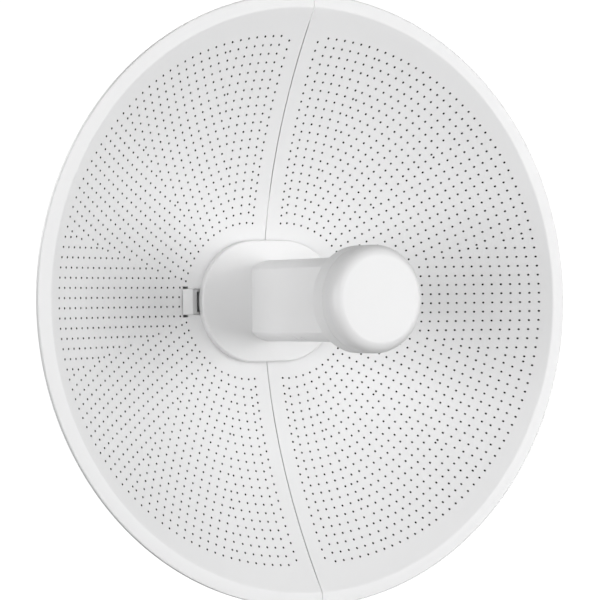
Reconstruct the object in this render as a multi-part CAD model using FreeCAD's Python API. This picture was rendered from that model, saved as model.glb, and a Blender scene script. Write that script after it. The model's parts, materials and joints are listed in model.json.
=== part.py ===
"""Outdoor wireless bridge: a round dish of two half reflectors, a plug-in feed module on its axis, a hub
behind the dish, a tilt joint and a pole clamp.

Frame: millimetres, +Z up. The origin is on the pole's axis at the height of the dish's axis. The dish looks
along -Y. Depths called d are measured backwards (+Y) from the plane of the dish's rim.
"""

import FreeCAD
import Part
import math
import os

Vector = FreeCAD.Vector

# --- driving dimensions -------------------------------------------------------------------------------
RIM_R = 190.0            # outer radius of the rim
BOWL_R = 181.4           # radius where the bowl meets the flat rim
FOCUS = 120.8            # focal length of the bowl
SHEET = 1.2              # thickness of the reflector sheet
RIM_LIP = 2.6            # depth of the turned edge of the rim
SEAM_GAP = 0.6           # gap between the two half reflectors
SEAM_RIB = 9.0           # depth of the ribs along the seam
SEAM_RIB_T = 1.6         # thickness of a seam rib
SEAM_RIB_START = 70.0    # height where the seam ribs begin, clear of the hub and the open port cover
SEAM_SCREW_Z = (95.0, 150.0)

POLE_R = 25.0            # nominal pole
PIVOT_Y = -60.0          # tilt axis, parallel to X at the height of the dish's axis
PIVOT_GAP = 18.0         # tilt axis to the mount plate's rear face
MOUNT_T = 5.0            # mount plate
HUB_DEPTH = 104.0        # rear face of the hub cover, as a depth d
RIM_Y = PIVOT_Y - PIVOT_GAP - MOUNT_T - HUB_DEPTH

OVAL_C = 11.0            # the collar's and sleeve's oval: two arcs centred at x = -11 and 11
COLLAR_R = 39.0
COLLAR_FRONT = 58.5      # d of the collar's front face
SLEEVE_R = 33.0
SLEEVE_END = 91.4
WALL = 2.2               # moulded wall of the feed body
TUBE_TOP = 25.9          # height of the tube's crown above the axis
CROWN_R = 19.6           # crown radius of the tube
TUBE_FLAT = 14.0         # half width over the tube's flat sides
HEAD_R = 32.5
HEAD_REAR = -46.0        # d of the head's rear face
PARTING = -57.0          # d of the line between feed body and cap
CAP_FRONT = -71.0
CAP_ROUND = 7.0
FLARE = 8.0              # length of the flare between tube and head

OPENING_R = 34.0         # oval opening in the reflector
WINDOW_X = 63.2          # outer end of the latch window
SLIT_X = (58.6, 63.2)    # wider part of the latch window
SLIT_Z = 9.9
WINDOW_Z = 8.6
TAB_X = (57.0, 63.8)     # finger tab of a latch
LATCH_Z = 8.1
POCKET_X = (46.0, 50.2)  # dark pocket between the collar and the finger tab
POCKET_Z = 6.4

HUB_W = 78.0             # half width of the hub
HUB_H = 47.0             # half height of the hub
HUB_CORNER = 18.0
HUB_WALL = 2.6
HUB_PLATE = 2.4
HUB_END = 101.0          # d where the frame ends and the cover begins
STUD_X = 52.0
STUD_Z = 34.0
BOSS_X = 68.0
BOSS_Z = 37.0

BOARD_X = -9.0           # plane of the main circuit board
BOARD_T = 1.6
JACK_D = (72.0, 88.0)
JACK_X = (-8.2, 5.3)
JACK_Z = (-32.5, -11.5)

PORT_W = 17.0            # half width of the port opening
PORT_D = (69.0, 93.0)
COVER_Z = -47.3          # inner face of the port cover
COVER_T = 2.4
COVER_HINGE_D = 98.0
COVER_HINGE_Z = -50.0

TILT_LIMIT = 20.0        # degrees each way
LOCK_R = 22.0            # lock bolt, from the tilt axis
LUG_X = 9.0
EAR_X = (9.3, 14.3)

CLAMP_BOLT_X = 37.0
CLAMP_H = 36.0

LIGHT_X = 52.0           # status light on the hub cover
LIGHT_Z = 22.0


def corners(x, z):
    """Four places, one in each corner."""
    return ((x, z), (x, -z), (-x, z), (-x, -z))


BACK_SCREWS = corners(35.0, 14.5)
MOUNT_BOLTS = corners(26.0, 20.0)
STUDS = corners(STUD_X, STUD_Z)
BOSSES = corners(BOSS_X, BOSS_Z)
PARTS = {}


# --- small helpers ------------------------------------------------------------------------------------
def at(d):
    """Y of a depth d."""
    return RIM_Y + d


def bowl_depth(r):
    """Depth d of the bowl's front face at radius r."""
    return (BOWL_R ** 2 - r ** 2) / (4.0 * FOCUS)


def box(x, y, z):
    """A box from three (low, high) pairs."""
    return Part.makeBox(x[1] - x[0], y[1] - y[0], z[1] - z[0], Vector(x[0], y[0], z[0]))


def rod(x, y, z, r, length, axis=(0, 1, 0)):
    return Part.makeCylinder(r, length, Vector(x, y, z), Vector(*axis))


def prism_y(wire, d0, d1):
    """The wire, drawn at y = 0, as a solid between two depths."""
    solid = Part.Face(wire).extrude(Vector(0, d1 - d0, 0))
    solid.translate(Vector(0, at(d0), 0))
    return solid


def oval(c, r):
    """Outline of two half circles of radius r, centred at x = -c and x = c, in the plane y = 0."""
    right = Part.Arc(Vector(c, 0, r), Vector(c + r, 0, 0), Vector(c, 0, -r)).toShape()
    left = Part.Arc(Vector(-c, 0, -r), Vector(-c - r, 0, 0), Vector(-c, 0, r)).toShape()
    low = Part.makeLine(Vector(c, 0, -r), Vector(-c, 0, -r))
    top = Part.makeLine(Vector(-c, 0, r), Vector(c, 0, r))
    return Part.Wire([top, right, low, left])


def flat_sided(w, r, top):
    """Outline with flat sides at x = -w and x = w, and a crown of radius r above and below."""
    h = top - r + math.sqrt(r * r - w * w)
    upper = Part.Arc(Vector(-w, 0, h), Vector(0, 0, top), Vector(w, 0, h)).toShape()
    lower = Part.Arc(Vector(w, 0, -h), Vector(0, 0, -top), Vector(-w, 0, -h)).toShape()
    right = Part.makeLine(Vector(w, 0, h), Vector(w, 0, -h))
    left = Part.makeLine(Vector(-w, 0, -h), Vector(-w, 0, h))
    return Part.Wire([upper, right, lower, left])


def rounded_block(w, h, corner, d0, d1):
    """A block 2w wide and 2h high with rounded upright edges, between two depths."""
    solid = box((-w, w), (at(d0), at(d1)), (-h, h))
    edges = [e for e in solid.Edges if abs(e.tangentAt(0).y) > 0.99]
    return solid.makeFillet(corner, edges)


def hexagon(x, y, z, flats, length, axis):
    """A hexagonal prism that starts at a point and runs along +X or +Y."""
    r = flats / math.sqrt(3.0)
    points = []
    for i in range(7):
        a = math.radians(60.0 * i)
        u = r * math.cos(a)
        v = r * math.sin(a)
        points.append(Vector(x, y + u, z + v) if axis[0] else Vector(x + u, y, z + v))
    return Part.Face(Part.makePolygon(points)).extrude(Vector(*axis) * length)


def bowl_between(shift_a, shift_b, r):
    """The solid between two copies of the bowl's face, moved back by two shifts, out to radius r."""
    def curve(shift):
        bezier = Part.BezierCurve()
        top = at(bowl_depth(0.0) + shift)
        end = at(bowl_depth(r) + shift)
        bezier.setPoles([Vector(0, top, 0), Vector(r / 2.0, top, 0), Vector(r, end, 0)])
        return bezier.toShape()
    front = curve(shift_a)
    rear = curve(shift_b)
    ends = [(v.Vertexes[0].Point, v.Vertexes[-1].Point) for v in (front, rear)]
    axis = Part.makeLine(ends[0][0], ends[1][0])
    edge = Part.makeLine(ends[0][1], ends[1][1])
    wire = Part.Wire(Part.__sortEdges__([front, edge, rear, axis]))
    return Part.Face(wire).revolve(Vector(0, 0, 0), Vector(0, 1, 0), 360)


def mirrored(shape):
    return shape.mirror(Vector(0, 0, 0), Vector(1, 0, 0))


def add(name, *solids):
    """Keeps one node: one solid, or a group of separate solids."""
    PARTS[name] = solids[0] if len(solids) == 1 else Part.makeCompound(list(solids))


# --- reflector ----------------------------------------------------------------------------------------
def latch_window(z_inner, z_slit, d0, d1):
    """The opening for a latch on the right: a long window with a wider slit near its outer end."""
    window = box((20.0, WINDOW_X), (at(d0), at(d1)), (-z_inner, z_inner))
    slit = box(SLIT_X, (at(d0), at(d1)), (-z_slit, z_slit))
    return window.fuse(slit)


def rim_ring():
    """The flat rim with its edge turned back."""
    flat = rod(0, at(0), 0, RIM_R, SHEET).cut(rod(0, at(-1), 0, BOWL_R, SHEET + 2.0))
    lip = rod(0, at(0), 0, RIM_R, RIM_LIP).cut(rod(0, at(-1), 0, RIM_R - SHEET, RIM_LIP + 2.0))
    return flat.fuse(lip)


def seam_rib():
    """The rib that stands back from the sheet along the right side of the seam, above the hub."""
    x = (SEAM_GAP / 2.0, SEAM_GAP / 2.0 + SEAM_RIB_T)
    strip = box(x, (at(-1), at(90)), (SEAM_RIB_START, BOWL_R - 8.0))
    rib = bowl_between(SHEET / 2.0, SHEET + SEAM_RIB, BOWL_R).common(strip)
    for z in SEAM_SCREW_Z:
        hole = rod(0, at(bowl_depth(z) + SHEET + SEAM_RIB / 2.0), z, 2.1, 6.0, (1, 0, 0))
        rib = rib.cut(hole)
    return rib


def reflector_right():
    shell = bowl_between(0.0, SHEET, BOWL_R).fuse(rim_ring())
    shell = shell.cut(prism_y(oval(OVAL_C, OPENING_R), 40, 90))
    shell = shell.cut(latch_window(WINDOW_Z, SLIT_Z, 40, 90))
    half = shell.common(box((SEAM_GAP / 2.0, RIM_R + 5.0), (at(-5), at(90)), (-RIM_R - 5, RIM_R + 5)))
    upper = seam_rib()
    lower = upper.mirror(Vector(0, 0, 0), Vector(0, 0, 1))
    return half.fuse(upper).fuse(lower).removeSplitter()


def seam_fixings():
    """M4 screws and nuts that draw the seam ribs together."""
    face = SEAM_GAP / 2.0 + SEAM_RIB_T
    screws = []
    nuts = []
    for side in (1, -1):
        for z in SEAM_SCREW_Z:
            y = at(bowl_depth(z) + SHEET + SEAM_RIB / 2.0)
            shank = rod(-face - 4.6, y, side * z, 2.0, 2.0 * face + 4.6, (1, 0, 0))
            screws.append(shank.fuse(rod(face, y, side * z, 3.5, 2.6, (1, 0, 0))))
            nut = hexagon(-face - 3.2, y, side * z, 7.0, 3.2, (1, 0, 0))
            nuts.append(nut.cut(rod(-face - 4.0, y, side * z, 2.0, 5.0, (1, 0, 0))))
    return screws, nuts


def reflector_fixings():
    """Studs welded to the back of the reflector and the nuts that hold it to the hub frame."""
    studs = []
    nuts = []
    front = bowl_between(-20.0, SHEET, 120.0)
    for x, z in STUDS:
        studs.append(rod(x, at(55), z, 2.0, 16.0).cut(front))
        nut = hexagon(x, at(65.0), z, 7.0, 3.2, (0, 1, 0))
        nuts.append(nut.cut(rod(x, at(64), z, 2.0, 6.0)))
    return studs, nuts


# --- feed module --------------------------------------------------------------------------------------
def feed_flare():
    """The stretch where the tube's crowns swell to meet the head."""
    small = flat_sided(TUBE_FLAT, CROWN_R, TUBE_TOP)
    small.translate(Vector(0, at(HEAD_REAR + FLARE), 0))
    large = flat_sided(TUBE_FLAT, HEAD_R - 1.0, HEAD_R - 1.0)
    large.translate(Vector(0, at(HEAD_REAR), 0))
    return Part.makeLoft([small, large], True, True)


def feed_outside():
    """The feed body's outer form: collar, tube, flare and the rear cup of the head."""
    collar = prism_y(oval(OVAL_C, COLLAR_R), COLLAR_FRONT, 68)
    rim = [e for e in collar.Edges if abs(e.CenterOfMass.y - at(COLLAR_FRONT)) < 0.01]
    collar = collar.makeFillet(1.2, rim).cut(bowl_between(-0.1, 40.0, 80.0))
    tube = prism_y(flat_sided(TUBE_FLAT, CROWN_R, TUBE_TOP), HEAD_REAR, COLLAR_FRONT + 1.0)
    cup = rod(0, at(PARTING), 0, HEAD_R, HEAD_REAR - PARTING)
    rear_edge = [e for e in cup.Edges if abs(e.CenterOfMass.y - at(HEAD_REAR)) < 0.01 and e.Length > 100]
    cup = cup.makeFillet(1.0, rear_edge)
    sleeve = prism_y(oval(OVAL_C, SLEEVE_R), COLLAR_FRONT + 1.0, SLEEVE_END)
    return collar.fuse(sleeve).fuse(tube).fuse(feed_flare()).fuse(cup)


def feed_inside():
    """The hollow of the feed body."""
    cup = rod(0, at(PARTING - 1), 0, HEAD_R - WALL, HEAD_REAR - PARTING - WALL + 1)
    tube = prism_y(flat_sided(TUBE_FLAT - WALL, CROWN_R - WALL, TUBE_TOP - WALL), HEAD_REAR - WALL - 1, 62)
    skirt = prism_y(oval(OVAL_C, COLLAR_R - WALL), COLLAR_FRONT + 2.4, 69)
    skirt = skirt.cut(prism_y(oval(OVAL_C, SLEEVE_R), COLLAR_FRONT, 70))
    sleeve = prism_y(oval(OVAL_C, SLEEVE_R - WALL), COLLAR_FRONT + 2.4, SLEEVE_END + 1)
    return cup.fuse(tube).fuse(skirt).fuse(sleeve)


def feed_body():
    body = feed_outside().cut(feed_inside())
    for d in (4.0, 12.5):
        slot = box((-11.0, 11.0), (at(d - 0.6), at(d + 0.6)), (-TUBE_TOP - 1, -TUBE_TOP + 5.0))
        body = body.cut(slot)
    for side in (1, -1):
        x = sorted((side * 41.0, side * 45.0))
        body = body.cut(box(x, (at(65.0), at(67.9)), (-LATCH_Z - 0.5, LATCH_Z + 0.5)))
    mouth = box((JACK_X[0] - 0.2, JACK_X[1] + 0.2), (at(JACK_D[0] - 0.2), at(JACK_D[1] + 0.2)), (-36, -28))
    body = body.cut(mouth).cut(rod(13.0, at(80), -36, 2.5, 8.0, (0, 0, 1)))
    for x, z in BACK_SCREWS:
        boss = rod(x, at(76), z, 3.5, SLEEVE_END - 76)
        body = body.fuse(boss).cut(rod(x, at(80), z, 1.3, 20))
    return body.removeSplitter()


def feed_cap():
    """The front of the head, with a rounded edge and a lip that plugs into the cup."""
    gap = 0.4
    outer = rod(0, at(CAP_FRONT), 0, HEAD_R, PARTING - gap - CAP_FRONT)
    edge = [e for e in outer.Edges if abs(e.CenterOfMass.y - at(CAP_FRONT)) < 0.01 and e.Length > 100]
    outer = outer.makeFillet(CAP_ROUND, edge)
    lip = rod(0, at(PARTING - gap), 0, HEAD_R - WALL - 0.1, 4.0)
    seat = rod(0, at(PARTING - gap + 1.5), 0, HEAD_R, 1.6)
    seat = seat.cut(rod(0, at(PARTING - gap + 1.4), 0, HEAD_R - WALL - 0.9, 2.0))
    hollow = rod(0, at(CAP_FRONT + 2.0), 0, HEAD_R - WALL - 2.2, 40)
    return outer.fuse(lip).cut(seat).cut(hollow).removeSplitter()


def cap_seal():
    y = at(PARTING - 0.4 + 2.3)
    return Part.makeTorus(HEAD_R - WALL - 0.5, 0.38, Vector(0, y, 0), Vector(0, 1, 0))


def feed_board():
    """Main circuit board: narrow in the tube, full height in the sleeve."""
    x = (BOARD_X - BOARD_T / 2.0, BOARD_X + BOARD_T / 2.0)
    narrow = box(x, (at(-42), at(64)), (-19.5, 19.5))
    wide = box(x, (at(64), at(89)), (-24.0, 24.0))
    return narrow.fuse(wide).removeSplitter()


def shield_cans():
    """Two pressed cans over the radio circuits."""
    face = BOARD_X + BOARD_T / 2.0
    long_can = box((face, face + 4.0), (at(-10), at(34)), (-15.0, 15.0))
    short_can = box((face, face + 3.4), (at(40), at(60)), (-13.0, 9.0))
    rounded = []
    for can in (long_can, short_can):
        edges = [e for e in can.Edges if abs(e.tangentAt(0).x) > 0.99]
        rounded.append(can.makeFillet(1.5, edges))
    return rounded


def line_transformer():
    face = BOARD_X + BOARD_T / 2.0
    return box((face, face + 6.0), (at(66), at(84)), (2.0, 15.0))


def lan_jack():
    """Shielded eight-way network jack that opens downwards."""
    shell = box(JACK_X, (at(JACK_D[0]), at(JACK_D[1])), JACK_Z)
    mouth = box((-5.5, 2.7), (at(74.2), at(85.8)), (JACK_Z[0] - 1, -17.0))
    key = box((-7.2, -5.4), (at(77.0), at(83.0)), (JACK_Z[0] - 1, -19.0))
    return shell.cut(mouth).cut(key)


def antenna_plate():
    return rod(0, at(-52), 0, 27.0, BOARD_T)


def antenna_posts():
    """Four brass posts between the main board and the antenna plate."""
    posts = []
    for z in (-12.0, -4.0, 4.0, 12.0):
        x = BOARD_X + BOARD_T / 2.0 + 1.0
        posts.append(rod(x, at(-52 + BOARD_T), z, 1.0, 16.0))
    return posts


def subreflector():
    return rod(0, at(-68), 0, 24.0, 1.0)


def subreflector_post():
    return rod(0, at(-67), 0, 4.0, 15.0)


def feed_back_plate():
    plate = prism_y(oval(OVAL_C, SLEEVE_R), SLEEVE_END + 0.6, SLEEVE_END + 3.0)
    for x, z in BACK_SCREWS:
        plate = plate.cut(rod(x, at(90), z, 1.7, 8))
    return plate.cut(rod(0, at(90), 15, 2.5, 8))


def back_gasket():
    ring = prism_y(oval(OVAL_C, SLEEVE_R), SLEEVE_END, SLEEVE_END + 0.6)
    for x, z in BACK_SCREWS:
        ring = ring.cut(rod(x, at(90), z, 1.7, 8))
    return ring.cut(prism_y(oval(OVAL_C, SLEEVE_R - 9.5), 80, 99))


def back_screws():
    screws = []
    for x, z in BACK_SCREWS:
        shank = rod(x, at(82), z, 1.3, SLEEVE_END + 3.0 - 82)
        screws.append(shank.fuse(rod(x, at(SLEEVE_END + 3.0), z, 2.6, 1.4)))
    return screws


def reset_button():
    """A small plunger beside the jack, pressed upwards."""
    stem = rod(13.0, at(80), -33.8, 2.2, 5.8, (0, 0, 1))
    flange = rod(13.0, at(80), -30.2, 3.3, 1.4, (0, 0, 1))
    return stem.fuse(flange)


# --- latches ------------------------------------------------------------------------------------------
def latch_right():
    """A slider: finger tab over the window, arm under the collar and a nose in the sleeve's slot."""
    z = (-LATCH_Z, LATCH_Z)
    block = box((57.0, 70.0), (at(61.4), at(67.6)), z)
    arm = box((42.6, 58.0), (at(65.3), at(67.6)), z)
    arm = arm.cut(box(POCKET_X, (at(60), at(70)), (-POCKET_Z, POCKET_Z)))
    stem = WINDOW_X - 1.8
    profile = [(TAB_X[0], 62.0), (TAB_X[0], 57.9), (TAB_X[1], 58.4)]
    profile += [(TAB_X[1], 59.0), (stem, 59.0), (stem, 62.0)]
    points = [Vector(x, at(d), -LATCH_Z) for x, d in profile]
    outline = Part.makePolygon(points + points[:1])
    tab = Part.Face(outline).extrude(Vector(0, 0, 2 * LATCH_Z))
    return block.fuse(arm).fuse(tab).removeSplitter()


def latch_spring():
    """A bowed leaf between the right latch and the hub's wall."""
    x0 = 70.1
    x1 = HUB_W - HUB_WALL - 0.1
    half = 6.5
    t = 0.4

    def bow(start, rise):
        low_end = Vector(start, 0, -half)
        top_end = Vector(start, 0, half)
        return Part.Arc(low_end, Vector(start - rise, 0, 0), top_end).toShape()
    rise = x1 - x0 - t
    outer = bow(x1 - t, rise)
    inner = bow(x1, rise)
    low = Part.makeLine(Vector(x1 - t, 0, -half), Vector(x1, 0, -half))
    top = Part.makeLine(Vector(x1 - t, 0, half), Vector(x1, 0, half))
    wire = Part.Wire(Part.__sortEdges__([outer, inner, low, top]))
    return prism_y(wire, 62.0, 67.0)


# --- hub ----------------------------------------------------------------------------------------------
def hub_frame():
    """The moulded frame that carries the reflector, the sleeve, the latches and the port cover."""
    outer = rounded_block(HUB_W, HUB_H, HUB_CORNER, 40, HUB_END)
    inner = rounded_block(HUB_W - HUB_WALL, HUB_H - HUB_WALL, HUB_CORNER - HUB_WALL, 39, HUB_END + 1)
    wall = outer.cut(inner)
    plate = bowl_between(SHEET + 0.1, SHEET + 0.1 + HUB_PLATE, 110.0).common(outer)
    seat = bowl_between(-80.0, SHEET + 0.1, 120.0)
    frame = wall.cut(seat).fuse(plate)
    guide = prism_y(oval(OVAL_C, SLEEVE_R + 2.8), 60, 72).cut(seat)
    frame = frame.fuse(guide)
    for side in (1, -1):
        frame = frame.fuse(latch_channel(side).cut(seat))
        window = latch_window(WINDOW_Z, WINDOW_Z, 40, 68.0)
        longer = box((20.0, HUB_W - HUB_WALL), (at(40), at(68.0)), (-WINDOW_Z, WINDOW_Z))
        pocket = box(POCKET_X, (at(60), at(71.0)), (-POCKET_Z, POCKET_Z))
        slits = box(SLIT_X, (at(58), at(71.0)), (-SLIT_Z, SLIT_Z))
        window = window.fuse(longer).fuse(pocket).fuse(slits)
        frame = frame.cut(window if side > 0 else mirrored(window))
    frame = frame.cut(prism_y(oval(OVAL_C, SLEEVE_R + 0.4), 40, 99))
    for x, z in BOSSES:
        boss = rod(x, at(50), z, 4.5, HUB_END - 50).cut(seat)
        frame = frame.fuse(boss).cut(rod(x, at(80), z, 1.7, 40))
    for x, z in STUDS:
        pad = rod(x, at(50), z, 6.0, 65.0 - 50).cut(seat)
        frame = frame.fuse(pad).cut(rod(x, at(40), z, 2.2, 40))
    frame = frame.cut(box((-PORT_W, PORT_W), (at(PORT_D[0]), at(PORT_D[1])), (-HUB_H - 5, -HUB_H + 8)))
    return frame.fuse(cover_ears()).cut(cover_bore(1.35)).removeSplitter()


def latch_channel(side):
    """Walls and floor that guide one latch."""
    outer = box((46.0, HUB_W - 1.0), (at(58), at(70.0)), (-SLIT_Z - 1.9, SLIT_Z + 1.9))
    return outer if side > 0 else mirrored(outer)


def cover_bore(r):
    return rod(-30, at(COVER_HINGE_D), COVER_HINGE_Z, r, 60, (1, 0, 0))


def cover_ears():
    """Two ears under the hub that hold the port cover's pin."""
    ears = []
    for x in (14.3, -20.3):
        knuckle = rod(x, at(COVER_HINGE_D), COVER_HINGE_Z, 2.7, 6.0, (1, 0, 0))
        y = (at(COVER_HINGE_D - 2.7), at(COVER_HINGE_D + 2.7))
        ears.append(knuckle.fuse(box((x, x + 6.0), y, (COVER_HINGE_Z, -HUB_H + 0.5))))
    return ears[0].fuse(ears[1])


def hub_cover():
    """The rear cover, with a lip inside the frame's wall."""
    plate = rounded_block(HUB_W, HUB_H, HUB_CORNER, HUB_END, HUB_DEPTH)
    rear = [e for e in plate.Edges if abs(e.CenterOfMass.y - at(HUB_DEPTH)) < 0.01]
    plate = plate.makeFillet(1.5, rear)
    w = HUB_W - HUB_WALL - 0.3
    h = HUB_H - HUB_WALL - 0.3
    lip = rounded_block(w, h, HUB_CORNER - HUB_WALL - 0.3, HUB_END - 2.5, HUB_END)
    lip = lip.cut(rounded_block(w - 1.8, h - 1.8, HUB_CORNER - HUB_WALL - 2.1, 90, 110))
    for x, z in BOSSES:
        lip = lip.cut(rod(x, at(90), z, 5.0, HUB_END - 90))
        plate = plate.cut(rod(x, at(90), z, 2.0, 30))
        plate = plate.cut(rod(x, at(HUB_DEPTH - 1.2), z, 3.8, 10))
    for x, z in MOUNT_BOLTS:
        plate = plate.cut(rod(x, at(90), z, 2.6, 30))
    return plate.fuse(lip).cut(rod(LIGHT_X, at(90), LIGHT_Z, 2.1, 30)).removeSplitter()


def hub_cover_screws():
    screws = []
    depth = (at(HUB_DEPTH + 0.1), at(HUB_DEPTH + 2))
    for x, z in BOSSES:
        shank = rod(x, at(84), z, 1.7, HUB_DEPTH - 1.2 - 84)
        head = rod(x, at(HUB_DEPTH - 1.2), z, 3.5, 2.4)
        cross = box((x - 2.2, x + 2.2), depth, (z - 0.5, z + 0.5))
        cross = cross.fuse(box((x - 0.5, x + 0.5), depth, (z - 2.2, z + 2.2)))
        screws.append(shank.fuse(head).cut(cross))
    return screws


def light_guide():
    """A clear peg that carries the status light to the rear face."""
    peg = rod(LIGHT_X, at(97), LIGHT_Z, 2.0, HUB_DEPTH - 97)
    head = rod(LIGHT_X, at(HUB_DEPTH), LIGHT_Z, 3.0, 0.8)
    return peg.fuse(head)


# --- port cover ---------------------------------------------------------------------------------------
def port_cover():
    """A hinged flap under the hub."""
    z = (COVER_Z - COVER_T, COVER_Z)
    flap = box((-PORT_W - 4.5, PORT_W + 4.5), (at(PORT_D[0] - 3.5), at(COVER_HINGE_D - 3.2)), z)
    neck = box((-13.9, 13.9), (at(COVER_HINGE_D - 4.0), at(COVER_HINGE_D)), z)
    knuckle = rod(-13.9, at(COVER_HINGE_D), COVER_HINGE_Z, 2.6, 27.8, (1, 0, 0))
    lift = box((-7.0, 7.0), (at(PORT_D[0] - 3.5), at(PORT_D[0] - 1.5)), (z[0] - 2.4, z[0] + 0.5))
    front = [e for e in flap.Edges if abs(e.tangentAt(0).z) > 0.99]
    cover = flap.makeFillet(2.5, front).fuse(neck).fuse(knuckle).fuse(lift)
    return cover.cut(cover_bore(1.3)).removeSplitter()


def port_seal():
    """A soft ring on the flap that plugs the port opening."""
    d = (PORT_D[0] + 1.2, PORT_D[1] - 0.6)
    z = (COVER_Z, COVER_Z + 2.2)
    outer = box((-PORT_W + 0.6, PORT_W - 0.6), (at(d[0]), at(d[1])), z)
    inner = box((-PORT_W + 2.6, PORT_W - 2.6), (at(d[0] + 2.0), at(d[1] - 2.0)), z)
    return outer.cut(inner)


def cover_pin():
    return rod(-20.3, at(COVER_HINGE_D), COVER_HINGE_Z, 1.25, 40.6, (1, 0, 0))


# --- tilt joint ---------------------------------------------------------------------------------------
def ear_outline(x0, x1, r, start, end):
    """A sector of a disc about the tilt axis; angles in degrees from +Y towards +Z."""
    def point(angle):
        a = math.radians(angle)
        return Vector(x0, PIVOT_Y + r * math.cos(a), r * math.sin(a))
    centre = Vector(x0, PIVOT_Y, 0)
    arc = Part.Arc(point(start), point((start + end) / 2.0), point(end)).toShape()
    sides = [Part.makeLine(centre, point(start)), Part.makeLine(point(end), centre)]
    wire = Part.Wire(Part.__sortEdges__([sides[0], arc, sides[1]]))
    return Part.Face(wire).extrude(Vector(x1 - x0, 0, 0))


def mount_ear():
    """The right ear, with the tilt hole and the curved lock slot."""
    x0, x1 = EAR_X
    rear = PIVOT_Y - PIVOT_GAP
    span = TILT_LIMIT + 1.0
    ear = ear_outline(x0, x1, LOCK_R + 7.7, 90 - span - 9, 180)
    ear = ear.fuse(rod(x0, PIVOT_Y, 0, 13.0, x1 - x0, (1, 0, 0)))
    ear = ear.fuse(box((x0, x1), (rear - 1.0, PIVOT_Y), (-13.0, 13.0)))
    ear = ear.common(box((x0, x1), (rear - 1.0, PIVOT_Y + 40), (-40, 40)))
    width = 3.15
    slot = ear_outline(x0, x1, LOCK_R + width, 90 - span, 90 + span)
    slot = slot.cut(rod(x0, PIVOT_Y, 0, LOCK_R - width, x1 - x0, (1, 0, 0)))
    for angle in (90 - span, 90 + span):
        a = math.radians(angle)
        y = PIVOT_Y + LOCK_R * math.cos(a)
        slot = slot.fuse(rod(x0, y, LOCK_R * math.sin(a), width, x1 - x0, (1, 0, 0)))
    return ear.cut(slot).cut(rod(x0, PIVOT_Y, 0, 4.05, x1 - x0, (1, 0, 0)))


def mount_plate():
    rear = PIVOT_Y - PIVOT_GAP
    base = box((-34.0, 34.0), (rear - MOUNT_T, rear), (-28.0, 32.0))
    corners = [e for e in base.Edges if abs(e.tangentAt(0).y) > 0.99]
    base = base.makeFillet(6.0, corners)
    for x, z in MOUNT_BOLTS:
        base = base.cut(rod(x, rear - 10, z, 2.6, 20))
    ear = mount_ear()
    return base.fuse(ear).fuse(mirrored(ear)).removeSplitter()


def mount_fixings():
    """Bolts through the mount plate and the hub cover, and their nuts inside the hub."""
    rear = PIVOT_Y - PIVOT_GAP
    bolts = []
    nuts = []
    for x, z in MOUNT_BOLTS:
        shank = rod(x, at(95.6), z, 2.5, rear - at(95.6))
        socket = hexagon(x, rear + 2.4, z, 4.0, 4.0, (0, 1, 0))
        bolts.append(shank.fuse(rod(x, rear, z, 4.4, 4.6)).cut(socket))
        nut = hexagon(x, at(96.6), z, 8.0, 4.0, (0, 1, 0))
        nuts.append(nut.cut(rod(x, at(95), z, 2.5, 10)))
    return bolts, nuts


def cross_bolt(z, r, flats, head, nut):
    """A bolt along X through ears and lug: shank with hexagon head, its nut, and two washers."""
    face = EAR_X[1] + 0.3
    washer = 1.6
    reach = face + washer
    shank = rod(-reach - nut - 3.0, PIVOT_Y, z, r, 2 * reach + nut + 3.0, (1, 0, 0))
    bolt = shank.fuse(hexagon(reach, PIVOT_Y, z, flats, head, (1, 0, 0)))
    hole = rod(-60, PIVOT_Y, z, r, 120, (1, 0, 0))
    nut_solid = hexagon(-reach - nut, PIVOT_Y, z, flats, nut, (1, 0, 0)).cut(hole)
    washers = []
    for x in (face, -face - washer):
        ring = rod(x, PIVOT_Y, z, r * 2.0, washer, (1, 0, 0))
        washers.append(ring.cut(rod(x - 1, PIVOT_Y, z, r + 0.1, washer + 2, (1, 0, 0))))
    return bolt, nut_solid, washers


# --- pole clamp ---------------------------------------------------------------------------------------
def saddle():
    """Half of the clamp at the front of the pole: a round saddle with two bolt flanges."""
    shell = rod(0, 0, -CLAMP_H, POLE_R + 6.0, 2 * CLAMP_H, (0, 0, 1))
    front = box((-60, 60), (-60, -8), (-60, 60))
    shell = shell.common(front)
    half = shell
    for side in (1, -1):
        x = sorted((side * 22.0, side * 46.0))
        half = half.fuse(box(x, (-14.0, -8.0), (-CLAMP_H, CLAMP_H)))
    half = half.cut(rod(0, 0, -60, POLE_R, 120, (0, 0, 1)))
    for side in (1, -1):
        half = half.cut(rod(side * CLAMP_BOLT_X, -20, 0, 4.1, 20))
    return half


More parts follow.
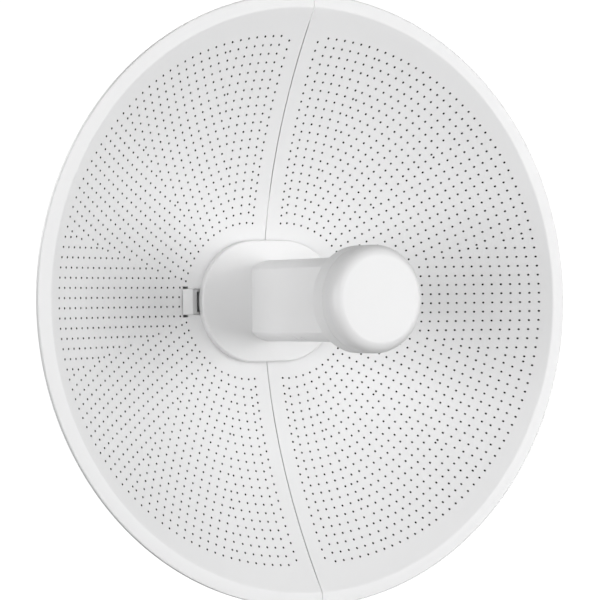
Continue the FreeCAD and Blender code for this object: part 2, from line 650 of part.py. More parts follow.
def pole_bracket():
    """The fixed casting: saddle, base, gussets and the lug of the tilt joint."""
    base = box((-28.0, 28.0), (-36.0, -29.0), (-CLAMP_H, CLAMP_H))
    body = base.fuse(saddle())
    for z in (-CLAMP_H, CLAMP_H - 5.0):
        points = [(-28, -36), (28, -36), (46, -14), (46, -8), (-46, -8), (-46, -14), (-28, -36)]
        outline = Part.makePolygon([Vector(x, y, z) for x, y in points])
        body = body.fuse(Part.Face(outline).extrude(Vector(0, 0, 5.0)))
    body = body.cut(rod(0, 0, -60, POLE_R, 120, (0, 0, 1)))
    lug = box((-LUG_X, LUG_X), (PIVOT_Y, -33.0), (-12.0, LOCK_R + 8.0))
    lug = lug.fuse(rod(-LUG_X, PIVOT_Y, 0, 12.0, 2 * LUG_X, (1, 0, 0)))
    lug = lug.fuse(rod(-LUG_X, PIVOT_Y, LOCK_R, 8.0, 2 * LUG_X, (1, 0, 0)))
    web = box((-LUG_X, LUG_X), (PIVOT_Y - 8.0, PIVOT_Y), (0.0, LOCK_R))
    body = body.fuse(lug).fuse(web)
    body = body.cut(rod(-60, PIVOT_Y, 0, 4.05, 120, (1, 0, 0)))
    body = body.cut(rod(-60, PIVOT_Y, LOCK_R, 3.05, 120, (1, 0, 0)))
    body = body.cut(rod(20.0, -40, -24.0, 2.05, 12))
    return body.removeSplitter()


def clamp_jaw():
    """The moving half behind the pole, with stiffening ribs."""
    half = saddle().mirror(Vector(0, 0, 0), Vector(0, 1, 0))
    for z in (-26.0, 21.0):
        points = [(-46, 13), (-20, 34), (20, 34), (46, 13), (-46, 13)]
        outline = Part.makePolygon([Vector(x, y, z) for x, y in points])
        half = half.fuse(Part.Face(outline).extrude(Vector(0, 0, 5.0)))
    return half.cut(rod(0, 0, -60, POLE_R, 120, (0, 0, 1))).removeSplitter()


def clamp_fixings():
    """Two long bolts, with a washer and a nut behind the jaw."""
    bolts = []
    washers = []
    nuts = []
    for side in (1, -1):
        x = side * CLAMP_BOLT_X
        shank = rod(x, -14.0, 0, 4.0, 60.0)
        bolts.append(shank.fuse(hexagon(x, -19.3, 0, 13.0, 5.3, (0, 1, 0))))
        washers.append(rod(x, 14.0, 0, 7.5, 1.6).cut(rod(x, 13, 0, 4.1, 5)))
        nuts.append(hexagon(x, 15.6, 0, 13.0, 6.5, (0, 1, 0)).cut(rod(x, 14, 0, 4.1, 10)))
    return bolts, washers, nuts


def earth_screw():
    """Earth terminal on the bracket's base, with its washer."""
    shank = rod(20.0, -37.0, -24.0, 2.0, 8.0)
    screw = shank.fuse(hexagon(20.0, -40.4, -24.0, 7.0, 3.4, (0, 1, 0)))
    washer = rod(20.0, -37.0, -24.0, 4.5, 1.0).cut(rod(20.0, -38.0, -24.0, 2.0, 3.0))
    return screw, washer


# --- the assembly -------------------------------------------------------------------------------------
def build():
    right = reflector_right()
    add("reflector_right", right)
    add("reflector_left", mirrored(right))
    screws, nuts = seam_fixings()
    add("seam_screws", *screws)
    add("seam_nuts", *nuts)
    studs, nuts = reflector_fixings()
    add("reflector_studs", *studs)
    add("stud_nuts", *nuts)

    add("feed_body", feed_body())
    add("feed_cap", feed_cap())
    add("cap_seal", cap_seal())
    add("feed_board", feed_board())
    add("shield_cans", *shield_cans())
    add("line_transformer", line_transformer())
    add("lan_jack", lan_jack())
    add("antenna_plate", antenna_plate())
    add("antenna_posts", *antenna_posts())
    add("subreflector", subreflector())
    add("subreflector_post", subreflector_post())
    add("feed_back_plate", feed_back_plate())
    add("back_gasket", back_gasket())
    add("back_screws", *back_screws())
    add("reset_button", reset_button())

    latch = latch_right()
    spring = latch_spring()
    add("latch_right", latch)
    add("latch_left", mirrored(latch))
    add("latch_spring_right", spring)
    add("latch_spring_left", mirrored(spring))

    add("hub_frame", hub_frame())
    add("hub_cover", hub_cover())
    add("hub_cover_screws", *hub_cover_screws())
    add("light_guide", light_guide())
    add("port_cover", port_cover())
    add("port_seal", port_seal())
    add("cover_pin", cover_pin())

    add("mount_plate", mount_plate())
    bolts, nuts = mount_fixings()
    add("mount_bolts", *bolts)
    add("mount_nuts", *nuts)
    tilt, tilt_nut, tilt_washers = cross_bolt(0.0, 4.0, 13.0, 5.3, 6.5)
    lock, lock_nut, lock_washers = cross_bolt(LOCK_R, 3.0, 10.0, 4.0, 5.0)
    add("tilt_bolt", tilt)
    add("tilt_nut", tilt_nut)
    add("tilt_washers", *tilt_washers)
    add("lock_bolt", lock)
    add("lock_nut", lock_nut)
    add("lock_washers", *lock_washers)

    add("pole_bracket", pole_bracket())
    add("clamp_jaw", clamp_jaw())
    bolts, washers, nuts = clamp_fixings()
    add("clamp_bolts", *bolts)
    add("clamp_washers", *washers)
    add("clamp_nuts", *nuts)
    screw, washer = earth_screw()
    add("earth_screw", screw)
    add("earth_washer", washer)


def save():
    os.makedirs("parts", exist_ok=True)
    for name, shape in PARTS.items():
        shape.exportStep("parts/" + name + ".step")
        box_mm = shape.BoundBox
        size = " ".join(f"{v:.1f}" for v in (box_mm.XLength, box_mm.YLength, box_mm.ZLength))
        print(f"{name}: {len(shape.Solids)} solid(s), valid {shape.isValid()}, {size} mm")


build()
save()
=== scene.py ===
# %% [markdown]
# # An outdoor wireless bridge
# A white perforated dish in two halves stands on a pole clamp. The radio is in the feed module that
# plugs into the middle of the dish. The frame that is loaded first holds every part at its true
# size, in metres, with +Z up and the dish looking along -Y. This lesson adds the camera, the light,
# the finishes and the pieces whose shape deserves more care than a plain solid.

import json
import math

import bmesh
import bpy
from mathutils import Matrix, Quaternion, Vector
from mathutils.geometry import delaunay_2d_cdt

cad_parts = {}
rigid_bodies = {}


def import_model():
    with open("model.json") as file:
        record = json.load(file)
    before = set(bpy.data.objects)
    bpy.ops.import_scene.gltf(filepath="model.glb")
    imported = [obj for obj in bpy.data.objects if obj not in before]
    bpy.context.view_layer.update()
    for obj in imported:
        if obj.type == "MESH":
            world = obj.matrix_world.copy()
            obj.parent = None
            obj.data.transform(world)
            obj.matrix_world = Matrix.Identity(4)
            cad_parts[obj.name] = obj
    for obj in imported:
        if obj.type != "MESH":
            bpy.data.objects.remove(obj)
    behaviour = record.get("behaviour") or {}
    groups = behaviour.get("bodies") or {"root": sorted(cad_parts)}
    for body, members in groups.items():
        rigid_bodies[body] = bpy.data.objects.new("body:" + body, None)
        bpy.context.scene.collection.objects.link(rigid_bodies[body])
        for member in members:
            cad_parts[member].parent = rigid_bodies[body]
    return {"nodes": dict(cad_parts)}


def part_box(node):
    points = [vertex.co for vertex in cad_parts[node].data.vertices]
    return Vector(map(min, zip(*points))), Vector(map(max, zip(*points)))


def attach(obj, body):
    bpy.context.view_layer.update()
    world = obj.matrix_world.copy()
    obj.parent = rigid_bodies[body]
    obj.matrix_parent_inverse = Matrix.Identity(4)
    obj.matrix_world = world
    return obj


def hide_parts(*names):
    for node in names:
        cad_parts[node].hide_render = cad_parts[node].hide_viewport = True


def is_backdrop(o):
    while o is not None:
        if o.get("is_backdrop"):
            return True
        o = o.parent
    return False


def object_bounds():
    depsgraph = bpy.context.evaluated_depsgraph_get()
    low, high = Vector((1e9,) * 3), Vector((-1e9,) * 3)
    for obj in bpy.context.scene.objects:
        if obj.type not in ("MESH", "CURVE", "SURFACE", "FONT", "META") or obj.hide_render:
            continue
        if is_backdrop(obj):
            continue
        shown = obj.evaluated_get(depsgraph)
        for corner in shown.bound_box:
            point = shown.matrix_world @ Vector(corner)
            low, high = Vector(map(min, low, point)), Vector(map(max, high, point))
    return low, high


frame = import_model()
cad_low, cad_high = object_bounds()
nodes = frame["nodes"]
MM = 0.001
print("frame:", len(nodes), "nodes")
print("from", [round(v, 3) for v in cad_low], "to", [round(v, 3) for v in cad_high])

# %% [markdown]
# The camera stands level with the middle of the dish and well to its left, about one and a half
# metres away, so the dish looks like a tall oval and the feed module points past the camera. A long
# lens fills the picture from there and keeps the near and far edges of the dish alike in size. The
# picture is moved sideways a touch instead of turning the camera.

# %% Camera
RIM_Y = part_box("reflector_right")[0].y
rim_centre = Vector((0, RIM_Y, 0))


def aim(item, azimuth, elevation, distance, roll=0.0):
    """Puts a camera or light round the middle of the rim, looking at it; angles in degrees."""
    turn, rise = math.radians(azimuth), math.radians(elevation)
    back = Vector((math.sin(turn) * math.cos(rise), -math.cos(turn) * math.cos(rise), math.sin(rise)))
    item.location = rim_centre + back * distance
    item.rotation_mode = "QUATERNION"
    level = (-back).to_track_quat("-Z", "Y")
    item.rotation_quaternion = level @ Quaternion((0, 0, 1), math.radians(roll))


CAMERA_AZIMUTH, CAMERA_ELEVATION, CAMERA_ROLL = -31.379, -0.12, -0.788
CAMERA_DISTANCE = 1.4617
camera = bpy.data.objects.new("camera", bpy.data.cameras.new("camera"))
bpy.context.scene.collection.objects.link(camera)
aim(camera, CAMERA_AZIMUTH, CAMERA_ELEVATION, CAMERA_DISTANCE, CAMERA_ROLL)
camera.data.lens = 141.45
camera.data.sensor_width = 36
camera.data.shift_x = -0.0308
bpy.context.scene.camera = camera
bpy.context.scene.view_settings.view_transform = "Standard"
print("camera at", [round(v, 3) for v in camera.location])

# %% [markdown]
# Every finish is made of nodes. Adding nodes by hand takes many lines, so one small class wraps a
# socket and lets sums be written as sums, and one method makes any other node from its type, its
# settings and its inputs. The same class draws the light of the studio, so it comes first.

# %% Shader helpers
class Value:
    """A shader socket that can stand in a sum, such as 1 - mask."""

    def __init__(self, graph, socket):
        self.graph = graph
        self.socket = socket

    def sum_with(self, operation, first, second):
        return self.graph.node("ShaderNodeMath", {"operation": operation}, {0: first, 1: second})

    def __add__(self, other):
        return self.sum_with("ADD", self, other)

    def __sub__(self, other):
        return self.sum_with("SUBTRACT", self, other)

    def __rsub__(self, other):
        return self.sum_with("SUBTRACT", other, self)

    def __mul__(self, other):
        return self.sum_with("MULTIPLY", self, other)

    __radd__ = __add__
    __rmul__ = __mul__


class Graph:
    """The nodes of a world or a material."""

    def __init__(self, owner):
        owner.use_nodes = True
        self.tree = owner.node_tree
        self.tree.nodes.clear()

    def node(self, kind, settings=None, inputs=None, output=0):
        """Any node: its type, its settings, its inputs, and which output to use."""
        made = self.tree.nodes.new(kind)
        for key, value in (settings or {}).items():
            setattr(made, key, value)
        for key, value in (inputs or {}).items():
            if isinstance(value, Value):
                self.tree.links.new(value.socket, made.inputs[key])
            else:
                made.inputs[key].default_value = value
        return Value(self, made.outputs[output]) if made.outputs else None


class Finish(Graph):
    """A material: one Principled shader, and the patterns that feed it."""

    def __init__(self, name):
        self.material = bpy.data.materials.new(name)
        super().__init__(self.material)
        self.place = self.node("ShaderNodeTexCoord", output="Object")

    def shade(self, **sockets):
        """Makes the shader from its sockets; Base_Color stands for Base Color."""
        inputs = {key.replace("_", " "): value for key, value in sockets.items()}
        shader = self.node("ShaderNodeBsdfPrincipled", None, inputs)
        self.node("ShaderNodeOutputMaterial", None, {"Surface": shader})
        return self.material

    def noise(self, size, detail=2.0, stretch=None):
        """Cloudy noise from 0 to 1 whose lumps are about size metres across."""
        where = self.place
        if stretch:
            where = self.node("ShaderNodeMapping", None, {"Vector": where, "Scale": stretch})
        inputs = {"Vector": where, "Scale": 1 / size, "Detail": detail}
        return self.node("ShaderNodeTexNoise", None, inputs)

    def blend(self, factor, first, second):
        """One colour fading into another."""
        inputs = {0: factor, 6: first, 7: second}
        return self.node("ShaderNodeMix", {"data_type": "RGBA"}, inputs, output=2)

    def bumps(self, height, depth):
        """Height from 0 to 1 as bumps of the given depth in metres."""
        return self.node("ShaderNodeBump", None, {"Height": height, "Distance": depth})


def tone(red, green, blue):
    """An opaque colour."""
    return (red, green, blue, 1.0)


# %% [markdown]
# White things on white need soft light with just enough direction to show their form. Two large
# soft boxes stand left and right of the dish, so the feed module throws the two wide, soft shadows
# that fan out over the bowl. A few weaker ones fill in beside them and in front. Two more behind
# the dish light its back. To the camera the world glows a touch brighter than one, so it is a clean
# white right up to the border. To the object it gives only a little light, or it would wash the
# shadows out.

# %% Light
BOX_SIZE, BOX_DISTANCE = 1.0, 1.8


def soft_box(name, azimuth, elevation, power):
    """A square soft light that looks at the middle of the rim."""
    data = bpy.data.lights.new(name, "AREA")
    data.size = BOX_SIZE
    data.energy = power
    box = bpy.data.objects.new(name, data)
    bpy.context.scene.collection.objects.link(box)
    aim(box, azimuth, elevation, BOX_DISTANCE)


AMBIENT, WHITE = 0.02, 1.06
world = bpy.data.worlds.new("studio_white")
sky = Graph(world)
seen = sky.node("ShaderNodeLightPath", output="Is Camera Ray")
strength = AMBIENT + seen * (WHITE - AMBIENT)
glow = sky.node("ShaderNodeBackground", None, {"Color": tone(1, 1, 1), "Strength": strength})
sky.node("ShaderNodeOutputWorld", None, {"Surface": glow})
bpy.context.scene.world = world

soft_box("right_box", 40, 0, 14.6)
soft_box("left_box", -65, 0, 15.2)
soft_box("right_side_box", 65, 0, 5.2)
soft_box("left_front_box", -40, 0, 5)
soft_box("right_high_box", 50, 30, 3.4)
soft_box("front_box", 0, 10, 9.6)
soft_box("rear_left_box", -150, 25, 16)
soft_box("rear_right_box", 150, 25, 16)

# %% [markdown]
# The dish is steel sheet with a satin white powder coat. Powder melts into a skin with a faint
# orange peel, so the bumps are low and about a millimetre wide, and the gloss wanders a little. Each
# hole is a shallow pit in an almost black painted shade, which stands for the shadow inside it.

# %% Powder coats
def powder_coat(name, light, dark, roughness, peel, depth):
    """Melted powder: low bumps peel metres wide, gloss that wanders, cloudy shade."""
    coat = Finish(name)
    skin = coat.noise(peel, 1.5)
    clouds = coat.noise(0.06, 3.0)
    speck = coat.noise(0.0004, 1.0)
    return coat.shade(
        Base_Color=coat.blend(clouds * 0.8 + speck * 0.2, tone(*dark), tone(*light)),
        Roughness=roughness - 0.04 + clouds * 0.05 + skin * 0.03,
        Normal=coat.bumps(skin, depth),
    )


white_coat = powder_coat(
    "white_powder_coat", (0.80, 0.80, 0.803), (0.785, 0.785, 0.788), 0.42, 0.0012, 8e-6)
grey_coat = powder_coat(
    "grey_powder_coat", (0.62, 0.63, 0.635), (0.58, 0.59, 0.595), 0.46, 0.0016, 2e-5)


# Painted shade: the hole pits, the vents and the slit recesses take this almost black finish in place
# of the shadow inside them.
def painted_shade_dark():
    """Painted shade, almost black, that stands for the shadow inside a punched hole or a gap."""
    shade_paint = Finish("painted_shade_dark")
    dust = shade_paint.noise(0.001)
    return shade_paint.shade(
        Base_Color=shade_paint.blend(dust, tone(0.012, 0.012, 0.012), tone(0.03, 0.03, 0.03)),
        Roughness=0.75 + dust * 0.15,
    )


painted_shade_finish = painted_shade_dark()
print("coats:", white_coat.name, grey_coat.name, painted_shade_finish.name)

# %% [markdown]
# The feed module and the hub are moulded in white plastic. The mould was spark eroded, which leaves
# a grain far finer than powder coat. The cap over the antenna comes from a smoother mould and is a
# touch greyer.

# %% Plastics
def moulded(name, light, dark, roughness, grain, depth, **constants):
    """Moulded plastic with a fine grain, slightly uneven in shade and gloss."""
    plastic = Finish(name)
    pores = plastic.noise(grain, 2.0)
    flow = plastic.noise(0.04, 2.0, (1.0, 0.35, 1.0))
    return plastic.shade(
        Base_Color=plastic.blend(flow * 0.7 + pores * 0.3, tone(*dark), tone(*light)),
        Roughness=roughness - 0.03 + flow * 0.04 + pores * 0.04,
        Normal=plastic.bumps(pores, depth),
        **constants,
    )


housing_plastic = moulded(
    "housing_plastic", (0.80, 0.80, 0.802), (0.785, 0.785, 0.787), 0.45, 0.0006, 6e-6)
cap_plastic = moulded("cap_plastic", (0.765, 0.765, 0.768), (0.755, 0.755, 0.758), 0.36, 0.0009, 2e-6)
hub_plastic = moulded("hub_plastic", (0.76, 0.765, 0.77), (0.73, 0.735, 0.74), 0.5, 0.0005, 1.2e-5)
black_plastic = moulded("black_plastic", (0.035, 0.035, 0.038), (0.02, 0.02, 0.022), 0.5, 0.0005, 1e-5)
natural_plastic = moulded("natural_plastic", (0.74, 0.72, 0.66), (0.68, 0.66, 0.6), 0.4, 0.0006, 5e-6)
button_plastic = moulded("button_plastic", (0.22, 0.23, 0.24), (0.17, 0.18, 0.19), 0.45, 0.0005, 8e-6)
rubber = moulded("black_rubber", (0.045, 0.045, 0.048), (0.028, 0.028, 0.03), 0.78, 0.0007, 1.5e-5)
clear_plastic = moulded("clear_plastic", (0.9, 0.96, 0.93), (0.84, 0.92, 0.88), 0.12, 0.001, 1e-6,
                        Transmission_Weight=0.75)
solder_mask = moulded("solder_mask", (0.03, 0.2, 0.09), (0.015, 0.13, 0.05), 0.3, 0.0015, 4e-6)
print("plastics are ready")

# %% [markdown]
# Screws, nuts and springs are metal. Zinc plate is a patchwork of tiny pale crystals, rolled sheet
# has streaks along one direction, and turned brass is plain and warm. One function covers all of
# them with its own numbers.

# %% Metals
def bare_metal(name, light, dark, roughness, patch, streak, depth):
    """Bare or plated metal: patches of shade, streaked bumps and gloss."""
    metal = Finish(name)
    inputs = {"Vector": metal.place, "Scale": 1 / patch}
    patches = metal.node("ShaderNodeTexVoronoi", None, inputs, "Color")
    shade = metal.node("ShaderNodeSeparateColor", None, {"Color": patches})
    lines = metal.noise(0.0005, 2.0, streak)
    return metal.shade(
        Base_Color=metal.blend(shade * 0.5 + lines * 0.5, tone(*dark), tone(*light)),
        Metallic=1.0,
        Roughness=roughness + shade * 0.08 + lines * 0.1 - 0.09,
        Normal=metal.bumps(lines, depth),
    )


zinc_plate = bare_metal(
    "zinc_plate", (0.74, 0.75, 0.77), (0.6, 0.61, 0.63), 0.34, 0.0012, (1, 1, 1), 4e-6)
tinned_steel = bare_metal(
    "tinned_steel", (0.78, 0.79, 0.8), (0.68, 0.69, 0.7), 0.28, 0.002, (1, 8, 1), 2e-6)
spring_steel = bare_metal(
    "spring_steel", (0.62, 0.63, 0.65), (0.5, 0.51, 0.53), 0.25, 0.003, (1, 1, 12), 2e-6)
aluminium = bare_metal(
    "aluminium", (0.84, 0.85, 0.86), (0.74, 0.75, 0.76), 0.3, 0.002, (1, 6, 1), 3e-6)
brass = bare_metal("brass", (0.8, 0.62, 0.3), (0.66, 0.48, 0.2), 0.3, 0.002, (4, 1, 4), 2e-6)
print("metals are ready")

# %% [markdown]
# Each part of the frame names the finish it was designed with, so a table of finishes dresses them
# all at once. The pieces modelled below take their finish from the same table.

# %% Dress the frame
finishes = {
    "reflector": white_coat,
    "housing": housing_plastic,
    "cap": cap_plastic,
    "hub": hub_plastic,
    "rubber": rubber,
    "board": solder_mask,
    "tin": tinned_steel,
    "black_plastic": black_plastic,
    "brass": brass,
    "aluminium": aluminium,
    "insulator": natural_plastic,
    "button": button_plastic,
    "spring_steel": spring_steel,
    "clear": clear_plastic,
    "casting": grey_coat,
    "steel": zinc_plate,
}
slot_of = {}
for name, node in nodes.items():
    slot_of[name] = node.data.materials[0].name.split(".")[0]
    for place in node.material_slots:
        place.material = finishes[slot_of[name]]
print("dressed", len(slot_of), "nodes in", len(set(slot_of.values())), "finishes")

# %% [markdown]
# A few habits of modelling by hand are written down once: add a primitive, open it for editing,
# select by place, and close it again with its finish, its body and the nodes that it stands for.

# %% Modelling habits
def put_down():
    """Nothing selected, so that the next operator touches only the new primitive."""
    if bpy.context.object and bpy.context.object.mode == "EDIT":
        bpy.ops.object.mode_set(mode="OBJECT")
    bpy.ops.object.select_all(action="DESELECT")


def open_piece(name):
    """Names the primitive just added, keeps its place in its mesh, and opens it for editing."""
    piece = bpy.context.object
    piece.name = name
    piece.data.name = name
    bpy.ops.object.transform_apply(location=True, rotation=True, scale=True)
    bpy.ops.object.mode_set(mode="EDIT")
    return piece


def pick(piece, kind, test):
    """Selects the vertices, edges or faces that pass a test, and says how many."""
    bpy.ops.mesh.select_mode(type=kind)
    bpy.ops.mesh.select_all(action="DESELECT")
    mesh = bmesh.from_edit_mesh(piece.data)
    items = {"VERT": mesh.verts, "EDGE": mesh.edges, "FACE": mesh.faces}[kind]
    found = [item for item in items if test(item)]
    for item in found:
        item.select_set(True)
    if kind == "VERT":
        mesh.select_flush(True)
    bmesh.update_edit_mesh(piece.data)
    return len(found)


HAIR = 2e-5


def near(a, b):
    """True if two places are the same to a hair, two hundredths of a millimetre."""
    return abs(a - b) < HAIR


def all_at(item, axis, value):
    """True if every corner of an edge or face is at value along the axis."""
    return all(near(v.co[axis], value) for v in item.verts)


def turned_cylinder(name, radius, y0, y1, corners=96):
    """A cylinder along Y between two places, open for editing."""
    put_down()
    place = (0, (y0 + y1) / 2, 0)
    bpy.ops.mesh.primitive_cylinder_add(
        vertices=corners, radius=radius, depth=y1 - y0, location=place, rotation=(math.pi / 2, 0, 0))
    return open_piece(name)


def close_piece(piece, angle=35, weighted=True):
    """Back to object mode, smooth where the surface is smooth and crisp where it folds."""
    put_down()
    piece.select_set(True)
    bpy.context.view_layer.objects.active = piece
    bpy.ops.object.shade_smooth_by_angle(angle=math.radians(angle))
    if weighted:
        modifier = piece.modifiers.new("weighted", "WEIGHTED_NORMAL")
        modifier.keep_sharp = True
        bpy.ops.object.modifier_apply(modifier=modifier.name)
    bpy.ops.object.select_all(action="DESELECT")
    return piece


def combine(piece, other, operation):
    """Joins another solid to the piece, or cuts it away, and removes it."""
    put_down()
    bpy.context.view_layer.objects.active = piece
    modifier = piece.modifiers.new(operation.lower(), "BOOLEAN")
    modifier.object = other
    modifier.operation = operation
    modifier.solver = "EXACT"
    bpy.ops.object.modifier_apply(modifier=modifier.name)
    bpy.data.objects.remove(other)
    return piece


def install(piece, body, slot, *stands_for, finish=None):
    """Gives the piece its finish and tells the frame what it is."""
    if finish is not False:
        piece.data.materials.clear()
        piece.data.materials.append(finish or finishes[slot])
    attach(piece, body)
    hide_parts(*stands_for)
    print(piece.name, "has", sum(len(f.vertices) - 2 for f in piece.data.polygons), "triangles")
    return piece


# %% [markdown]
# ## The dish
# Each half is a pressed sheet with about thirteen hundred small round holes. The holes run in rings
# whose centre lies a little to the side of the seam, in six sectors like the petals of a flower.
# First the bowl itself: a paraboloid as deep as its focal length gives, folded softly into the flat
# rim.

# %% The bowl's form
BOWL_R = 181.4 * MM
FOCUS = 120.8 * MM
RIM_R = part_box("reflector_right")[1].x
SHEET, LIP_DEPTH = 1.2 * MM, 2.6 * MM
FOLD = 0.9 * MM
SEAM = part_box("reflector_right")[0].x


def bowl_depth(r):
    """How far behind the rim's plane the front of the sheet is, at radius r."""
    beyond = r - BOWL_R
    slope = BOWL_R / (2 * FOCUS)
    if beyond >= FOLD:
        return 0.0
    if beyond > -FOLD:
        return slope * (FOLD - beyond) ** 2 / (4 * FOLD)
    return (BOWL_R ** 2 - r ** 2) / (4 * FOCUS)


def on_bowl(x, z):
    """Where the front of the sheet is along Y."""
    return RIM_Y + bowl_depth(math.hypot(x, z))


print("bowl is", round(bowl_depth(0) / MM, 1), "mm deep, seam half gap", round(SEAM / MM, 2), "mm")

# %% [markdown]
# The holes of one half follow from a few numbers: the first ring's radius, the step between rings,
# the spacing along a ring and the angle of a sector. In each sector the holes are counted inwards
# from both of its edges. A straight column runs beside the seam, above and below the feed, and one
# more ring follows the collar. Holes that the latch or the outline would cut are left out.

# %% Where the holes are
RING_CENTRE = 9.59 * MM
RING_FIRST, RING_STEP, RINGS = 56.79 * MM, 5.121 * MM, 22
PITCH, COUNTING_PITCH = 5.976 * MM, 6.042 * MM
SECTOR = math.radians(29.48)
COLUMN_X, COLUMN_FIRST, COLUMN_STEP, COLUMN_COUNT = 10.4 * MM, 49.8 * MM, 5.092 * MM, 23
COLLAR_RING_CENTRE, COLLAR_RING_R, COLLAR_RING_TURN = 12.35 * MM, 50.1 * MM, 6
LATCH_FAR, LATCH_HALF = 64.6 * MM, 9.5 * MM
BESIDE_COLUMNS = 13 * MM


def ring_holes():
    """The holes of all rings and sectors; whether they fit is decided later."""
    places = []
    for ring in range(RINGS):
        radius = RING_FIRST + ring * RING_STEP
        count = round(radius * math.radians(30) / COUNTING_PITCH)
        for sector in range(-3, 3):
            start, end = sector * SECTOR, (sector + 1) * SECTOR
            angles = []
            for i in range(count // 2):
                step = math.asin((i + 0.5) * PITCH / radius)
                angles += [start + step, end - step]
            if count % 2:
                angles.append((start + end) / 2)
            places += [(RING_CENTRE + radius * math.cos(a), radius * math.sin(a)) for a in angles]
    return places


def seam_and_collar_holes():
    """The straight column beside the seam, and the ring that follows the collar past the latch."""
    places = []
    for i in range(COLUMN_COUNT):
        z = COLUMN_FIRST + i * COLUMN_STEP
        places += [(COLUMN_X, z), (COLUMN_X, -z)]
    for i in range(-15, 15):
        angle = math.radians(COLLAR_RING_TURN * (i + 0.5))
        if abs(angle) > math.radians(10):
            x = COLLAR_RING_CENTRE + COLLAR_RING_R * math.cos(angle)
            places.append((x, COLLAR_RING_R * math.sin(angle)))
    return places


def fits(x, z):
    """True for a hole that neither the latch nor the columns beside the seam would cut."""
    return x > BESIDE_COLUMNS and not (x < LATCH_FAR and abs(z) < LATCH_HALF)


holes = [place for place in ring_holes() if fits(*place)] + seam_and_collar_holes()
print("holes in one half:", len(holes))

# %% [markdown]
# The sheet is drawn flat, as a press shop would draw it: an outline with the opening for the feed
# and the latch window, eight-cornered holes, and loose points in between so that no triangle grows
# long. Rings of points along the rim keep its folds clean. A triangulation joins them all, and each
# point then moves back to the bowl's depth.

# %% Outline of one half
OPENING_C, OPENING_R = 11 * MM, 34 * MM
WINDOW_Z = 8.25 * MM
SLIT_NEAR, SLIT_FAR, SLIT_Z = 59.0 * MM, 63.2 * MM, 9.7 * MM
LIP_R = RIM_R - SHEET
RIM_STEPS, ARC_STEPS = 96, 26
EDGE_STEP = 4 * MM


def stepped(start, end, size):
    """Points from start up to, not including, end, no more than size apart."""
    (x0, z0), (x1, z1) = start, end
    count = max(1, math.ceil(math.hypot(x1 - x0, z1 - z0) / size))
    return [(x0 + (x1 - x0) * i / count, z0 + (z1 - z0) * i / count) for i in range(count)]


def rim_points(radius):
    """A half ring of points from the seam's lower end to its upper end."""
    end = math.acos(SEAM / radius)
    return [(radius * math.cos(a), radius * math.sin(a))
            for a in (-end + 2 * end * i / RIM_STEPS for i in range(RIM_STEPS + 1))]


def opening_points():
    """The upper half of the feed's opening from the seam on, then of the latch window."""
    lowest = math.asin(WINDOW_Z / OPENING_R)
    points = stepped((SEAM, OPENING_R), (OPENING_C, OPENING_R), EDGE_STEP)
    for i in range(ARC_STEPS + 1):
        angle = math.pi / 2 + (lowest - math.pi / 2) * i / ARC_STEPS
        points.append((OPENING_C + OPENING_R * math.cos(angle), OPENING_R * math.sin(angle)))
    points = points[:-1] + stepped(points[-1], (SLIT_NEAR, WINDOW_Z), EDGE_STEP)
    points += [(SLIT_NEAR, WINDOW_Z), (SLIT_NEAR, SLIT_Z), (SLIT_FAR, SLIT_Z)]
    return points + [(SLIT_FAR, SLIT_Z * 2 / 3), (SLIT_FAR, SLIT_Z / 3), (SLIT_FAR, 0)]


rings = [RIM_R, LIP_R] + [BOWL_R + FOLD * step for step in (1, 0.5, 0, -0.5, -1)]
upper = opening_points()
lower = [(x, -z) for x, z in reversed(upper[:-1])]
seam_up = [(SEAM, math.sqrt(r * r - SEAM * SEAM)) for r in sorted(rings[1:], reverse=True)]
seam_up += stepped(seam_up[-1], (SEAM, OPENING_R), EDGE_STEP)[1:]
seam_down = [(x, -z) for x, z in reversed(seam_up)]
outline = rim_points(RIM_R) + seam_up + upper + lower + seam_down
print("outline has", len(outline), "points")

# %% [markdown]
# Loose points fill the plain areas: a grid like a honeycomb, without the places that come too near
# to a hole, to the outline or to a rim ring. Triangles between well spread points stay almost equal
# sided, and such a mesh shades like a smooth bowl.

# %% Triangulate the flat sheet
HOLE_R = 0.70 * MM
HOLE_CORNERS = 8
LOOSE_STEP, LOOSE_ROOM = 5.2 * MM, 2.9 * MM


def hole_corners(x, z):
    """The corners of one hole."""
    turns = [2 * math.pi * (i + 0.5) / HOLE_CORNERS for i in range(HOLE_CORNERS)]
    return [(x + HOLE_R * math.cos(a), z + HOLE_R * math.sin(a)) for a in turns]


def loose_points(step, room):
    """Honeycomb points inside the sheet that keep room from the holes and the outline.

    The fixed points are sorted into square cells first, so that only near ones are compared."""
    cells = {}
    for x, z in holes + outline:
        cells.setdefault((int(x // room), int(z // room)), []).append((x, z))
    points = []
    row = 0
    z = -BOWL_R
    while z < BOWL_R:
        x = SEAM + (row % 2) * step / 2
        while x < BOWL_R:
            r = math.hypot(x, z)
            i, k = int(x // room), int(z // room)
            around = [(a, b) for a in (i - 1, i, i + 1) for b in (k - 1, k, k + 1)]
            close = [p for cell in around for p in cells.get(cell, [])]
            free = all(math.hypot(x - p[0], z - p[1]) > room for p in close)
            opening = math.hypot(max(0, x - OPENING_C), z) < OPENING_R + room / 2
            window = x < SLIT_FAR + room / 2 and abs(z) < SLIT_Z + room / 2
            if free and r < BOWL_R - FOLD - room and x > room and not opening and not window:
                points.append((x, z))
            x += step
        z += step * math.sqrt(3) / 2
        row += 1
    return points


